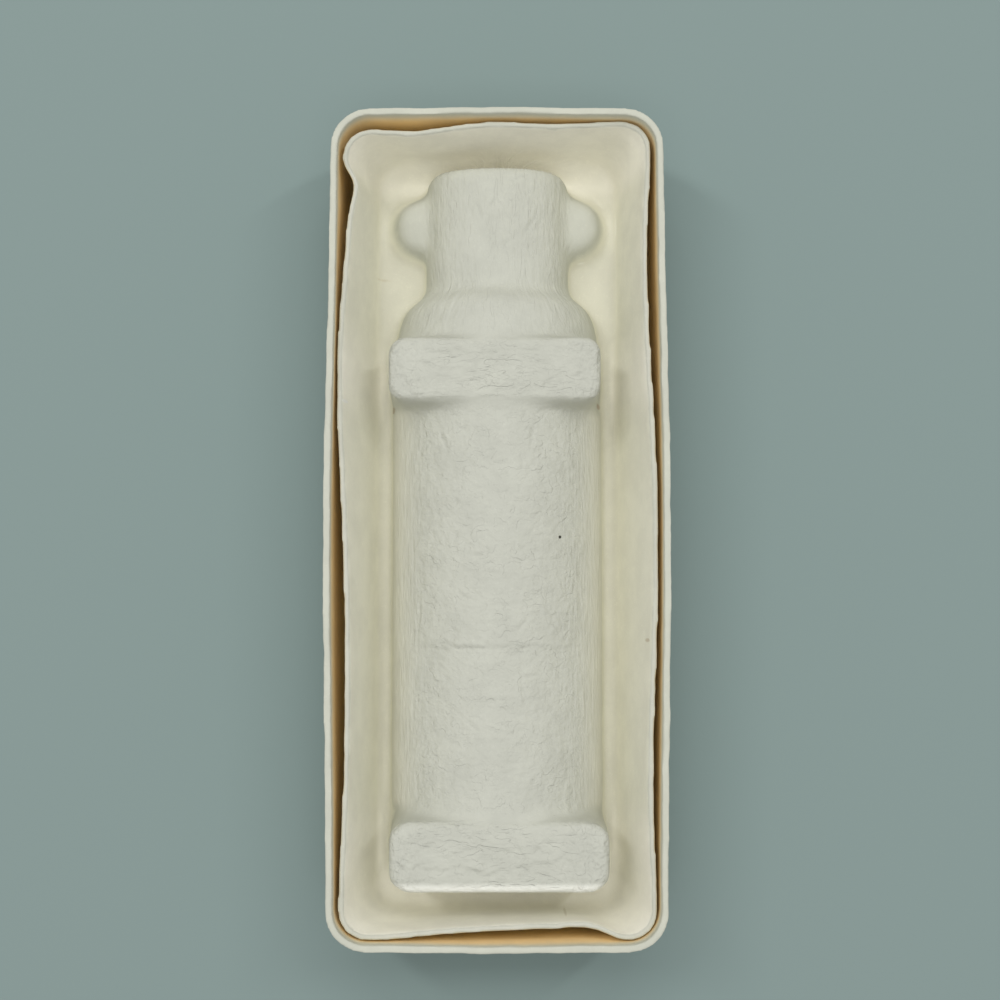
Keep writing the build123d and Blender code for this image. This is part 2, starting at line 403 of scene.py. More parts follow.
def far_out(across, along, across_range, along_range):
    """0 in the middle of the piece, rising to 1 over a range towards its sides and its ends."""
    return np.maximum(smooth_step(np.abs(across), *across_range), smooth_step(np.abs(along), *along_range))


def only(piece):
    """Select one object alone and make it active."""
    bpy.ops.object.select_all(action="DESELECT")
    piece.select_set(True)
    bpy.context.view_layer.objects.active = piece


def sheet_from_node(node, name):
    """Copy a CAD node's mesh into a new piece and merge its loose triangles."""
    piece = bpy.data.objects.new(name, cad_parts[node].data.copy())
    bpy.context.scene.collection.objects.link(piece)
    piece.data.materials.clear()
    only(piece)
    bpy.ops.object.mode_set(mode="EDIT")
    bpy.ops.mesh.select_all(action="SELECT")
    bpy.ops.mesh.remove_doubles(threshold=MERGE_DISTANCE)
    bpy.ops.object.mode_set(mode="OBJECT")
    return piece


def finish_with(piece, kind, **settings):
    """Add a modifier with its settings and apply it."""
    modifier = piece.modifiers.new(kind.lower(), kind)
    for key, value in settings.items():
        setattr(modifier, key, value)
    only(piece)
    bpy.ops.object.modifier_apply(modifier=modifier.name)


def places(piece):
    """The vertices' places, one row each."""
    values = np.empty(len(piece.data.vertices) * 3, np.float32)
    piece.data.vertices.foreach_get("co", values)
    return values.reshape(-1, 3).astype(float)


def facings(piece):
    """The vertices' normals, one row each."""
    values = np.empty(len(piece.data.vertices) * 3, np.float32)
    piece.data.vertex_normals.foreach_get("vector", values)
    return values.reshape(-1, 3).astype(float)


def set_masks(piece, masks):
    """Keep numbers or vectors for the vertices, each set under its name."""
    for name, values in masks.items():
        kind, key = ("FLOAT", "value") if values.ndim == 1 else ("FLOAT_VECTOR", "vector")
        attribute = piece.data.attributes.new(name, kind, "POINT")
        attribute.data.foreach_set(key, np.ascontiguousarray(values, np.float32).ravel())


def drop_masks(piece, masks):
    """Forget masks that only the relief needed."""
    for name in masks:
        piece.data.attributes.remove(piece.data.attributes[name])


def thin_out(piece, triangles, plain):
    """Collapse the plain stretches, flattest first, until the piece has this many triangles."""
    group = piece.vertex_groups.new(name="plain")
    group.add(np.flatnonzero(plain).tolist(), 1.0, "REPLACE")
    now = sum(len(face.vertices) - 2 for face in piece.data.polygons)
    finish_with(piece, "DECIMATE", ratio=min(1.0, triangles / now), use_collapse_triangulate=True,
                vertex_group=group.name)
    piece.vertex_groups.clear()


def keep_inside(piece, node):
    """Hold every vertex inside the box of the CAD node that the piece stands for."""
    low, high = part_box(node)
    inside = np.clip(places(piece), np.array(low), np.array(high))
    piece.data.vertices.foreach_set("co", inside.astype(np.float32).ravel())
    piece.data.update()


# Places picked from the photograph

def sighted(pixel, height):
    """The point at a height that a pixel of the photograph shows."""
    column, row = pixel
    focal = IMAGE_SIDE * CAMERA_LENS / SENSOR_WIDTH
    right = (column - IMAGE_SIDE / 2) / focal
    rise = (IMAGE_SIDE / 2 - row) / focal
    ahead = np.array((right, math.sin(CAMERA_TILT) + rise * math.cos(CAMERA_TILT),
                      rise * math.sin(CAMERA_TILT) - math.cos(CAMERA_TILT)))
    camera = np.array(CAMERA_PLACE)
    return camera + ahead * (height - camera[2]) / ahead[2]


def form_top(across, along):
    """Height of the bottle form over a point."""
    if FOOT_NEAR < along < FOOT_FAR or COLLAR_NEAR < along < COLLAR_FAR:
        return WEB_TOP + BLOCK_HEIGHT
    radius = np.interp(along, (COLLAR_NEAR, COLLAR_FAR, SWELL, NECK_NEAR),
                       (BODY_RADIUS, SHOULDER_RADIUS, SWELL_RADIUS, NECK_RADIUS))
    return WEB_TOP + math.sqrt(max(radius ** 2 - across ** 2, 0.0))


def spot_on_form(pixel):
    """The point of the bottle form that a pixel of the photograph shows."""
    spot = sighted(pixel, WEB_TOP + BODY_RADIUS)
    for _ in range(4):
        spot = sighted(pixel, form_top(spot[0], spot[1]))
    return spot


def crease_heights(across, along, on_skin):
    """Creases listed: a groove with a low lip on each side, fading at its ends, and how dark it is."""
    heights = np.zeros_like(along)
    shade = np.zeros_like(along)
    for depth, path in CREASES:
        points = np.array([spot_on_form(pixel)[:2] for pixel in path])
        low = points.min(axis=0) - 4 * CREASE_WIDTH
        high = points.max(axis=0) + 4 * CREASE_WIDTH
        near = on_skin & (across > low[0]) & (across < high[0]) & (along > low[1]) & (along < high[1])
        here = np.stack((across[near], along[near]), axis=1)
        runs = np.linalg.norm(np.diff(points, axis=0), axis=1)
        walked = np.concatenate(([0.0], np.cumsum(runs))) / runs.sum()
        distance = np.full(len(here), np.inf)
        place = np.zeros(len(here))
        for index, (start, end) in enumerate(zip(points, points[1:])):
            share = np.clip((here - start) @ (end - start) / runs[index] ** 2, 0.0, 1.0)
            gap = np.linalg.norm(here - start - share[:, None] * (end - start), axis=1)
            closer = gap < distance
            distance[closer] = gap[closer]
            place[closer] = walked[index] + share[closer] * (walked[index + 1] - walked[index])
        groove = np.exp(-(distance / CREASE_WIDTH) ** 2)
        lips = np.exp(-((distance - 2 * CREASE_WIDTH) / CREASE_WIDTH) ** 2)
        fade = np.sqrt(np.clip(4 * place * (1 - place), 0.04, 1.0))
        heights[near] += depth * MM * fade * (CREASE_LIPS * lips - groove)
        # The line is painted shade that darkens the colour along the groove
        line = np.exp(-(distance / CREASE_SHADE_WIDTH) ** 2)
        shade[near] = np.maximum(shade[near], min(1.0, CREASE_SHADE_GROWTH * depth) * fade * line)
    return heights, shade


# Small helpers for node trees

def socket(sockets, key):
    """The socket of that place or name that is in use."""
    if isinstance(key, int):
        return sockets[key]
    return next(one for one in sockets if one.name == key and one.enabled)


def add_node(tree, kind, feeds=None, **settings):
    """Add a node, set its options, and feed its inputs with values or with other nodes' outputs."""
    node = tree.nodes.new(kind)
    for key, value in settings.items():
        setattr(node, key, value)
    for key, value in (feeds or {}).items():
        target = socket(node.inputs, key)
        if isinstance(value, bpy.types.NodeSocket):
            tree.links.new(value, target)
        else:
            target.default_value = value
    return node


def maths(tree, operation, *values):
    """The output of one Math node."""
    return add_node(tree, "ShaderNodeMath", dict(enumerate(values)), operation=operation).outputs[0]


def vectors(tree, operation, *values):
    """The vector output of one Vector Math node."""
    node = add_node(tree, "ShaderNodeVectorMath", dict(enumerate(values)), operation=operation)
    return node.outputs["Vector"]


def mapped(tree, value, low, high, to_low=0.0, to_high=1.0):
    """A value carried softly from one range to another."""
    feeds = {"Value": value, "From Min": low, "From Max": high, "To Min": to_low, "To Max": to_high}
    return add_node(tree, "ShaderNodeMapRange", feeds, interpolation_type="SMOOTHSTEP").outputs[0]


def stretched(tree, place, size):
    """Coordinates in which a feature of that size is one unit each way."""
    return vectors(tree, "DIVIDE", place, tuple(side * MM for side in size))


# Relief of pressed pulp, for geometry nodes and for materials alike

def flake_group(kind):
    """Edges of lifted flakes: a step along a wandering line, which dies away on both sides."""
    tree = bpy.data.node_groups.new("pulp_flakes_" + kind, kind + "NodeTree")
    tree.interface.new_socket("Place", in_out="INPUT", socket_type="NodeSocketVector")
    tree.interface.new_socket("Seed", in_out="INPUT", socket_type="NodeSocketFloat")
    tree.interface.new_socket("Height", in_out="OUTPUT", socket_type="NodeSocketFloat")
    tree.interface.new_socket("Line", in_out="OUTPUT", socket_type="NodeSocketFloat")
    given = tree.nodes.new("NodeGroupInput")
    wander = add_node(tree, "ShaderNodeTexNoise",
                      {"Vector": given.outputs["Place"], "W": given.outputs["Seed"], "Scale": 1.0,
                       "Detail": 2.0, "Roughness": 0.5, "Distortion": 0.5},
                      noise_dimensions="4D", normalize=False).outputs[0]
    step = maths(tree, "TANH", maths(tree, "MULTIPLY", wander, 10.0))
    fade = maths(tree, "EXPONENT", maths(tree, "MULTIPLY", maths(tree, "ABSOLUTE", wander), -3.5))
    cover = add_node(tree, "ShaderNodeTexNoise",
                     {"Vector": given.outputs["Place"], "W": maths(tree, "ADD", given.outputs["Seed"], 50.0),
                      "Scale": 0.45, "Detail": 1.0},
                     noise_dimensions="4D").outputs[0]
    shown = mapped(tree, cover, 0.4, 0.6)
    height = maths(tree, "MULTIPLY", maths(tree, "MULTIPLY", step, fade), shown)
    # A thin line along the step, which the material lays on as painted shade
    thin = maths(tree, "EXPONENT", maths(tree, "MULTIPLY", maths(tree, "ABSOLUTE", wander), -12.0))
    result = tree.nodes.new("NodeGroupOutput")
    tree.links.new(height, result.inputs["Height"])
    tree.links.new(maths(tree, "MULTIPLY", thin, shown), result.inputs["Line"])
    return tree


def pattern_height(tree, kind, pattern, place, seed):
    """The height of one relief pattern, about -1 to 1, and its lines of painted shade where it has them."""
    if pattern == "flakes":
        flakes = bpy.data.node_groups.get("pulp_flakes_" + kind) or flake_group(kind)
        group = add_node(tree, kind + "NodeGroup", node_tree=flakes)
        tree.links.new(place, group.inputs["Place"])
        group.inputs["Seed"].default_value = seed
        return group.outputs["Height"], group.outputs["Line"]
    streaks = add_node(tree, "ShaderNodeTexNoise", {"Vector": place, "W": seed, "Scale": 1.0, "Detail": 2.0},
                       noise_dimensions="4D", normalize=False)
    return streaks.outputs[0], None


def add_heights(tree, kind, reliefs, place, read, unit, total):
    """Add the reliefs, each times its mask and depth, to a total height, and list their lines of painted
    shade.
    """
    lines = []
    for mask, pattern, space, size, depth, seed in reliefs:
        where = place if space == "place" else read(space, "FLOAT_VECTOR")
        height, line = pattern_height(tree, kind, pattern, stretched(tree, where, size), seed)
        amount = maths(tree, "MULTIPLY", read(mask, "FLOAT"), depth * unit)
        total = maths(tree, "MULTIPLY_ADD", height, amount, total)
        if line:
            share = maths(tree, "MULTIPLY", read(mask, "FLOAT"), LINE_SHARE)
            lines.append(maths(tree, "MULTIPLY", line, share))
    return total, lines


def press_relief(piece, reliefs, softening):
    """Soften a piece where its mask says so, sway its rim, then raise and sink its skin by the reliefs."""
    tree = bpy.data.node_groups.new(piece.name + "_relief", "GeometryNodeTree")
    tree.interface.new_socket("Geometry", in_out="INPUT", socket_type="NodeSocketGeometry")
    tree.interface.new_socket("Geometry", in_out="OUTPUT", socket_type="NodeSocketGeometry")
    given = tree.nodes.new("NodeGroupInput")
    result = tree.nodes.new("NodeGroupOutput")

    def read(name, kind):
        node = add_node(tree, "GeometryNodeInputNamedAttribute", {"Name": name}, data_type=kind)
        return socket(node.outputs, "Attribute")

    place = tree.nodes.new("GeometryNodeInputPosition").outputs[0]
    blurred = add_node(tree, "GeometryNodeBlurAttribute",
                       {"Value": place, "Iterations": softening, "Weight": read("soft", "FLOAT")},
                       data_type="FLOAT_VECTOR")
    softened = add_node(tree, "GeometryNodeSetPosition",
                        {"Geometry": given.outputs[0], "Position": socket(blurred.outputs, "Value")})
    wave = add_node(tree, "ShaderNodeTexNoise",
                    {"Vector": stretched(tree, place, RIM_WAVE_SIZE), "Scale": 1.0, "Detail": 3.0,
                     "Roughness": 0.6}).outputs["Color"]
    lean = vectors(tree, "SUBTRACT", wave, (0.5, 0.5, 0.6))
    amount = maths(tree, "MULTIPLY", read("rims", "FLOAT"), RIM_SWAY)
    sway = add_node(tree, "ShaderNodeVectorMath", {0: lean, "Scale": amount}, operation="SCALE")
    swayed = add_node(tree, "GeometryNodeSetPosition",
                      {"Geometry": softened.outputs[0], "Offset": sway.outputs[0]})
    total, _ = add_heights(tree, "Geometry", reliefs, place, read, MM, read("strokes", "FLOAT"))
    normal = tree.nodes.new("GeometryNodeInputNormal").outputs[0]
    offset = add_node(tree, "ShaderNodeVectorMath", {0: normal, "Scale": total}, operation="SCALE")
    raised = add_node(tree, "GeometryNodeSetPosition",
                      {"Geometry": swayed.outputs[0], "Offset": offset.outputs[0]})
    tree.links.new(raised.outputs[0], result.inputs[0])
    finish_with(piece, "NODES", node_group=tree)
    bpy.data.node_groups.remove(tree)


# Masks of the two pieces

def insert_zones(piece):
    """The parts of the insert that wrinkle and colour in their own ways, several of them carrying painted
    light, and the skin's own coordinates.
    """
    across, along, up = places(piece).T
    rise = up - WEB_TOP
    turn = np.arctan2(across, rise)
    lean = np.abs(turn)
    reach = np.hypot(across, rise)
    facing = facings(piece)
    outward = (across * facing[:, 0] + rise * facing[:, 2]) / np.maximum(reach, MM)
    within = 1.0 - smooth_step(np.abs(across), FORM_HALF_WIDTH - MM, FORM_HALF_WIDTH)
    on_form = smooth_step(outward, 0.0, 0.3) * within * smooth_step(rise, *FORM_RISE)
    high = smooth_step(rise, *BLOCK_TOP_RISE)
    blocks = by_blocks(along, 0.8 * MM)
    body = on_form * band(along, FOOT_FAR + 1.5 * MM, COLLAR_NEAR - 1.5 * MM, 1.5 * MM)
    waist = np.interp(along, (COLLAR_FAR, SWELL, NECK_NEAR), (SHOULDER_RADIUS, SWELL_RADIUS, NECK_RADIUS))
    past_collar = smooth_step(along, COLLAR_FAR, COLLAR_FAR + 2 * MM)
    neck = on_form * past_collar * (1.0 - smooth_step(reach - waist, 1.8 * MM, 2.6 * MM))
    from_lobe = np.hypot(np.abs(across) - LOBE_ACROSS, along - LOBE_ALONG)
    lobes = 1.0 - smooth_step(from_lobe, LOBE_RADIUS, 1.4 * LOBE_RADIUS)
    block_tops = on_form * high * blocks
    ends = smooth_step(np.abs(across), *BLOCK_END_ACROSS)
    edge = far_out(across, along, RIM_ACROSS, RIM_ALONG)
    outer = far_out(across, along, BACK_ACROSS, BACK_ALONG)
    turned_out = across / CAD_HIGH.x * facing[:, 0] + along / CAD_HIGH.y * facing[:, 1]
    rim_band = edge * smooth_step(up, *RIM_TOP_HEIGHTS)
    rim_band = rim_band * smooth_step(facing[:, 2], 0.1, 0.5)
    form = within * smooth_step(rise, *FORM_RISE) * smooth_step(facing[:, 2], -0.1, 0.05)
    # Nooks beside the blocks and at the ends, where light is painted over the shade
    beside = by_blocks(along, 6 * MM) * smooth_step(np.abs(across), *NOOK_ACROSS)
    nooks = np.maximum(smooth_step(np.abs(along), *NOOK_ALONG), beside)
    # A painted highlight along the foot block's near edge
    foot_edge_highlight = band(along, FOOT_NEAR - 1.0 * MM, FOOT_NEAR + 1.6 * MM, 0.8 * MM) * within
    # Of these, the web, the nooks and the form's steep sides carry painted light, the foot's near edge a
    # painted highlight and the backs a painted warm glow
    return {
        "block_tops": block_tops * (1.0 - 0.5 * ends),
        "block_ends": block_tops * ends,
        "crown": body * (1.0 - smooth_step(lean, *CROWN_LEAN)),
        "flanks": body * smooth_step(lean, *FLANK_LEAN),
        "neck": neck,
        "form": form * band(along, FOOT_NEAR - MM, NECK_FAR + 1.5 * MM, 0.5 * MM),
        "lobes": lobes * (rise < 12 * MM),
        "rims": edge * smooth_step(up, *RIM_HEIGHTS),
        "rim_band": rim_band,
        "backs": outer * smooth_step(turned_out, 0.1, 0.3) * (1.0 - rim_band),
        "foot_edge_highlight": foot_edge_highlight * smooth_step(rise, *FOOT_EDGE_RISE),
        "web": 1.0 - smooth_step(rise, *WEB_RISE),
        "nooks": nooks,
        "sides": body * smooth_step(lean, *SIDE_LEAN),
        "skin": np.stack((turn * BODY_RADIUS, along, np.zeros_like(along)), axis=1),
        "sheet": np.ones_like(along),
    }


def insert_relief_masks(piece):
    """The zones of the insert, with where it softens and where it is creased."""
    zones = insert_zones(piece)
    across, along, up = places(piece).T
    blocks = zones["block_tops"] + zones["block_ends"]
    firm = SHEET_SOFTNESS * (1.0 - smooth_step(blocks, 0.0, 0.5)) + BLOCK_SOFTNESS
    soft = np.maximum(firm, LOBE_SOFTNESS * zones["lobes"]) * (1.0 - smooth_step(zones["rims"], 0.0, 0.6))
    heights, _ = crease_heights(across, along, form_skin(zones, up))
    label = band(across, -LABEL_HALF_WIDTH, LABEL_HALF_WIDTH, 3 * MM)
    label = label * band(along, LABEL_NEAR, LABEL_FAR, 0.5 * MM)
    sharp = zones["form"] * smooth_step(along, NECK_FAR - 7 * MM, NECK_FAR - 4 * MM)
    soft = soft * (1.0 - NECK_END_FIRMNESS * sharp * (1.0 - zones["lobes"]))
    past_form = np.maximum(smooth_step(along, NECK_FAR + 0.8 * MM, NECK_FAR + 1.6 * MM),
                           1.0 - smooth_step(along, FOOT_NEAR - 1.8 * MM, FOOT_NEAR - MM))
    low = 1.0 - smooth_step(up - WEB_TOP, 7 * MM, 13 * MM)
    soft = np.maximum(np.maximum(soft, past_form * low), LEAST_SOFTNESS)
    return zones | {"soft": soft, "strokes": heights - LABEL_SINK * label * zones["form"]}


def press_label(points):
    """Press the label panel flush with the body."""
    across, along, up = points.T.copy()
    rise = up - WEB_TOP
    reach = np.hypot(across, rise)
    inside = (along > LABEL_NEAR - MM) & (along < LABEL_FAR + MM)
    proud = inside & (rise > 0) & (reach > BODY_RADIUS) & (reach < BODY_RADIUS + 2 * LABEL_RAISE)
    share = np.where(proud, BODY_RADIUS / np.maximum(reach, MM), 1.0)
    points[:, 0] = across * share
    points[:, 2] = WEB_TOP + rise * share


def press_neck(points):
    """Square the neck's section a little, and draw its end as far as the softening takes it back."""
    across, along, up = points.T.copy()
    rise = up - WEB_TOP
    reach = np.maximum(np.hypot(across, rise), MM)
    on_neck = smooth_step(along, NECK_NEAR - 4 * MM, NECK_NEAR + 3 * MM)
    on_neck = on_neck * (along < NECK_FAR + MM) * (rise > 0)
    on_neck = on_neck * (1.0 - smooth_step(reach, NECK_RADIUS + 0.3 * MM, NECK_RADIUS + 4 * MM))
    bulge = (np.abs(across) / reach) ** NECK_SQUARENESS + (np.abs(rise) / reach) ** NECK_SQUARENESS
    share = 1.0 + on_neck * (bulge ** (-1 / NECK_SQUARENESS) - 1.0)
    points[:, 0] = across * share
    points[:, 2] = WEB_TOP + rise * share
    neck_end = band(along, NECK_FAR - 2.5 * MM, NECK_FAR + 2 * MM, 1.5 * MM)
    neck_end = neck_end * smooth_step(rise, 5 * MM, 11 * MM)
    points[:, 1] = along + NECK_DRAW * neck_end * (np.abs(across) < NECK_RADIUS + MM)


def corner_inset(inward, radius):
    """How far a round corner stands in from a square one, at a distance in from the end."""
    return radius - np.sqrt(radius ** 2 - np.clip(radius - inward, 0.0, radius) ** 2)


def press_blocks(points):
    """Draw both blocks to the outlines of the photograph, with rounder corners."""
    across, along, up = points.T.copy()
    raised = smooth_step(up - WEB_TOP, MM, 6 * MM) * (1.0 - smooth_step(np.abs(across), 27 * MM, 31 * MM))
    sides = smooth_step(np.abs(across), BLOCK_HALF_WIDTH - 8 * MM, BLOCK_HALF_WIDTH - MM)
    for near, far, radius in ((COLLAR_NEAR, COLLAR_FAR, COLLAR_CORNER), (FOOT_NEAR, FOOT_FAR, FOOT_CORNER)):
        inward = np.maximum(np.minimum(along - near, far - along), 0.0)
        inset = corner_inset(inward, radius) - corner_inset(inward, BLOCK_CORNER)
        around = band(along, near - 0.5 * MM, far + 0.5 * MM, MM)
        points[:, 0] -= np.sign(across) * inset * around * sides * raised
    collar = band(along, COLLAR_NEAR - MM, COLLAR_FAR + MM, 3 * MM)
    foot = band(along, FOOT_NEAR - 2 * MM, FOOT_FAR, 1.5 * MM)
    points[:, 0] += COLLAR_SHIFT * collar * raised
    points[:, 0] += FOOT_RIGHT_DRAW * foot * smooth_step(across, 8 * MM, 24 * MM) * raised
    collar_near = band(along, COLLAR_NEAR - 3 * MM, COLLAR_NEAR + 4 * MM, 2.5 * MM)
    collar_far = band(along, COLLAR_FAR - 3 * MM, COLLAR_FAR + 1.5 * MM, 1.5 * MM)
    foot_near = band(along, FOOT_NEAR - 2 * MM, FOOT_NEAR + 3 * MM, 1.5 * MM)
    points[:, 1] -= COLLAR_NEAR_DRAW * collar_near * raised
    points[:, 1] += COLLAR_FAR_DRAW * collar_far * raised
    points[:, 1] -= FOOT_DRAW * foot_near * raised


def press_lobes(points):
    """Draw the finger lobes in towards the neck."""
    across, along, _ = points.T.copy()
    beside_neck = smooth_step(np.abs(across), 14 * MM, 18 * MM)
    for side, shift in LOBE_SHIFTS:
        offset = np.stack((across - side * LOBE_ACROSS, along - LOBE_ALONG), axis=1)
        near = 1.0 - smooth_step(np.linalg.norm(offset, axis=1), 1.1 * LOBE_RADIUS, 1.6 * LOBE_RADIUS)
        points[:, :2] -= LOBE_SHRINK * offset * (near * beside_neck)[:, None]
        points[:, 0] -= side * shift * near * beside_neck


def press_fold(points):
    """Lift the fold between the neck's end and the wall."""
    across, along, up = points.T.copy()
    past = smooth_step(along, NECK_FAR + 0.8 * MM, NECK_FAR + 3 * MM)
    middle = 1.0 - smooth_step(np.abs(across), 18 * MM, 26 * MM)
    low = 1.0 - smooth_step(up - WEB_TOP, 4 * MM, 14 * MM)
    points[:, 2] += FOLD_LIFT * past * middle * low


def press_form(piece):
    """Press the even form of the CAD into the uneven one of the photograph."""
    points = places(piece)
    for press in (press_label, press_neck, press_blocks, press_lobes, press_fold):
        press(points)
    piece.data.vertices.foreach_set("co", points.astype(np.float32).ravel())
    piece.data.update()


def form_skin(zones, up):
    """Whether each vertex is on the upper skin of the bottle form."""
    return (zones["form"] > 0.4) & (up > WEB_TOP + 8 * MM)


def insert_plain(zones, piece):
    """Whether each vertex of the insert may be thinned out: not on the wrinkled skin nor on the rim."""
    wrinkled = sum(zones[name] for name in ("block_tops", "block_ends", "crown", "flanks", "neck"))
    seen = (wrinkled > 0.3) & (facings(piece)[:, 2] > 0.2)
    return ~(seen | (zones["rim_band"] > 0.3))


def tray_relief_masks(piece):
    """Where the tray softens and where its rim sways."""
    up = places(piece)[:, 2]
    rims = smooth_step(up, TRAY_RIM - 5 * MM, TRAY_RIM - MM)
    return {
        "rims": rims,
        "soft": 1.0 - smooth_step(rims, 0.0, 0.6),
        "sheet": np.ones_like(up),
        "strokes": np.zeros_like(up),
    }


def tray_zones(piece):
    """The tray's inner face, from its rim down, which gets a painted warm glow."""
    across, along, up = places(piece).T
    facing = facings(piece)
    inward = -(across / CAD_HIGH.x * facing[:, 0] + along / CAD_HIGH.y * facing[:, 1])
    below_rim = 1.0 - smooth_step(up, TRAY_RIM - 5 * MM, TRAY_RIM - 0.3 * MM)
    return {"depths": smooth_step(inward, 0.1, 0.4) * below_rim}


# Materials

def skin_group():
    """Mottling, pale fibres and fine grain, which both pulp sheets share."""
    tree = bpy.data.node_groups.new("pulp_skin", "ShaderNodeTree")
    tree.interface.new_socket("Place", in_out="INPUT", socket_type="NodeSocketVector")
    tree.interface.new_socket("Mottle", in_out="OUTPUT", socket_type="NodeSocketFloat")
    tree.interface.new_socket("Fibres", in_out="OUTPUT", socket_type="NodeSocketFloat")
    tree.interface.new_socket("Grain", in_out="OUTPUT", socket_type="NodeSocketFloat")
    given = tree.nodes.new("NodeGroupInput")
    result = tree.nodes.new("NodeGroupOutput")
    place = given.outputs["Place"]
    mottle = add_node(tree, "ShaderNodeTexNoise", {"Vector": place, "Scale": 140.0, "Detail": 4.0,
                                                   "Roughness": 0.6})
    fibre = add_node(tree, "ShaderNodeTexNoise", {"Vector": place, "Scale": 1500.0, "Detail": 2.0,
                                                  "Distortion": 1.5})
    grain = add_node(tree, "ShaderNodeTexNoise", {"Vector": place, "Scale": 1400.0, "Detail": 3.0})
    tree.links.new(mottle.outputs[0], result.inputs["Mottle"])
    tree.links.new(mapped(tree, fibre.outputs[0], 0.58, 0.7), result.inputs["Fibres"])
    tree.links.new(grain.outputs[0], result.inputs["Grain"])
    return tree


def new_material(name):
    """An empty node material with its Principled shader."""
    material = bpy.data.materials.new(name)
    material.use_nodes = True
    tree = material.node_tree
    shader = next(node for node in tree.nodes if node.type == "BSDF_PRINCIPLED")
    shader.inputs["Specular IOR Level"].default_value = MATT_SPECULAR
    return material, tree, shader


def mixed(tree, share, first, second, blend="MIX"):
    """The colour output of one Mix node."""
    feeds = {0: share, 6: first, 7: second}
    return add_node(tree, "ShaderNodeMix", feeds, data_type="RGBA", blend_type=blend).outputs[2]


def whole(colour):
    """A colour with full alpha."""
    return tuple(colour) + (1.0,)


def reader(tree):
    """A function that reads one of the piece's own masks in a material."""
    def read(name, kind):
        node = add_node(tree, "ShaderNodeAttribute", attribute_name=name)
        return node.outputs["Vector" if kind == "FLOAT_VECTOR" else "Fac"]
    return read


def mark_group():
    """A soft ragged spot round a centre, which both pulp sheets may carry."""
    tree = bpy.data.node_groups.new("pulp_mark", "ShaderNodeTree")
    for name in ("Place", "Centre", "Reach"):
        tree.interface.new_socket(name, in_out="INPUT", socket_type="NodeSocketVector")
    tree.interface.new_socket("Cover", in_out="OUTPUT", socket_type="NodeSocketFloat")
    given = tree.nodes.new("NodeGroupInput")
    result = tree.nodes.new("NodeGroupOutput")
    away = vectors(tree, "SUBTRACT", given.outputs["Place"], given.outputs["Centre"])
    away = vectors(tree, "DIVIDE", away, given.outputs["Reach"])
    distance = add_node(tree, "ShaderNodeVectorMath", {0: away}, operation="LENGTH").outputs["Value"]
    ragged = add_node(tree, "ShaderNodeTexNoise", {"Vector": given.outputs["Place"], "Scale": 1600.0,
                                                   "Detail": 2.0}).outputs[0]
    edge = maths(tree, "MULTIPLY_ADD", ragged, 0.6, distance)
    tree.links.new(mapped(tree, edge, 0.75, 1.35, 1.0, 0.0), result.inputs["Cover"])
    return tree


def add_marks(tree, place, base, marks):
    """Lay the listed marks over a colour."""
    spot = bpy.data.node_groups.get("pulp_mark") or mark_group()
    for pixel, height, (half_across, half_along), colour, strength in marks:
        group = add_node(tree, "ShaderNodeGroup", node_tree=spot)
        tree.links.new(place, group.inputs["Place"])
        group.inputs["Centre"].default_value = sighted(pixel, height * MM)
        group.inputs["Reach"].default_value = (half_across * MM, half_along * MM, MARK_HALF_DEPTH)
        # Some marks are stains and some are painted shade in corners
        share = maths(tree, "MULTIPLY", group.outputs["Cover"], strength)
        base = mixed(tree, share, base, whole(linear(*colour)))
    return base


def pulp_material(name, colour, tones, creases, marks):
    """Matt pressed pulp: tones by masks, some of them painted light, mottled, with pale fibres, fine grain,
    fine creases darkened by painted shade, and marks.
    """
    material, tree, shader = new_material(name)
    read = reader(tree)
    skin = bpy.data.node_groups.get("pulp_skin") or skin_group()
    place = tree.nodes.new("ShaderNodeTexCoord").outputs["Object"]
    group = add_node(tree, "ShaderNodeGroup", node_tree=skin)
    tree.links.new(place, group.inputs["Place"])
    base = whole(colour)
    for mask, tone in tones:
        base = mixed(tree, read(mask, "FLOAT"), base, whole(tone))
    mottle = mapped(tree, group.outputs["Mottle"], *MOTTLE_RANGE, *MOTTLE_SHADES)
    base = mixed(tree, 1.0, base, mottle, "MULTIPLY")
    pale = mapped(tree, group.outputs["Fibres"], 0.0, 1.0, 1.0, FIBRE_SHADE)
    base = mixed(tree, 1.0, base, pale, "MULTIPLY")
    grain = maths(tree, "MULTIPLY", group.outputs["Grain"], GRAIN_DEPTH)
    height, lines = add_heights(tree, "Shader", creases, place, read, 1.0, grain)
    # Painted shade: the colour darkens along the creases and the flakes' edges
    if lines:
        dark = read("creases", "FLOAT")
        for line in lines:
            dark = maths(tree, "MAXIMUM", dark, line)
        base = mixed(tree, 1.0, base, mapped(tree, dark, 0.0, 1.0, 1.0, CREASE_SHADE), "MULTIPLY")
    base = add_marks(tree, place, base, marks)
    tree.links.new(base, shader.inputs["Base Color"])
    roughness = mapped(tree, group.outputs["Mottle"], *MOTTLE_RANGE, *MOTTLE_ROUGHNESS)
    tree.links.new(roughness, shader.inputs["Roughness"])
    bump = add_node(tree, "ShaderNodeBump", {"Height": height, "Strength": 1.0, "Distance": MM})
    tree.links.new(bump.outputs[0], shader.inputs["Normal"])
    return material


def settle(piece, node, material):
    """Give a finished piece smooth shading, its material and its body, and hide the node that it stands for.
    """
    only(piece)
    bpy.ops.object.shade_smooth()
    piece.data.materials.append(material)
    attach(piece, "root")
    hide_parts(node)


# Operators

